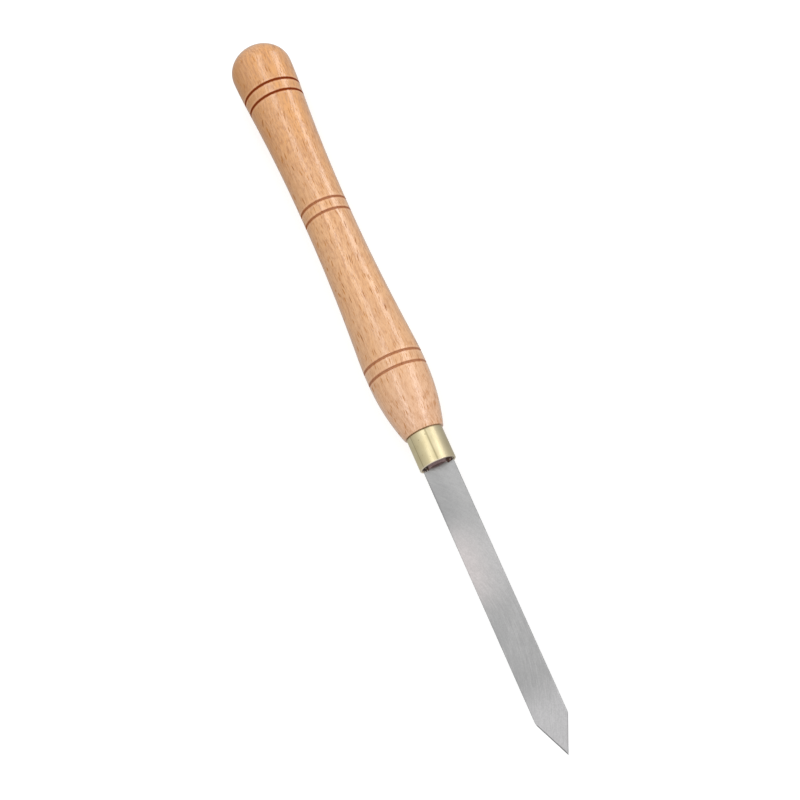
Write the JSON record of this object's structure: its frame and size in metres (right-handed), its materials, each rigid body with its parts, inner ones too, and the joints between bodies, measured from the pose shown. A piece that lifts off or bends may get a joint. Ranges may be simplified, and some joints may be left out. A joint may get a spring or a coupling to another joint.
{
  "type": "parting tool",
  "caption": "Turner's parting tool: a flat steel bar ground to a V point, its tang bedded in a long turned beech handle behind a plain brass ferrule.",
  "frame": {"origin": "on the bench, under the middle of the tool's length", "axes": "+X along the tool from the butt towards the V point, +Z square to the blade's broad faces, +Y towards one narrow edge of the blade"},
  "size_m": [0.4806, 0.0392, 0.0392],
  "materials": {
    "beech": "satin varnish over steamed beech, with burnt grooves",
    "ferrule_brass": "plain turned tube, lightly drawn along its length",
    "blade_steel": "satin ground bar",
    "tang_resin": "dark glossy resin"
  },
  "bodies": {
    "root": {"handle": "beech", "ferrule": "ferrule_brass", "blade": "blade_steel", "tang_resin": "tang_resin"}
  },
  "joints": []
}
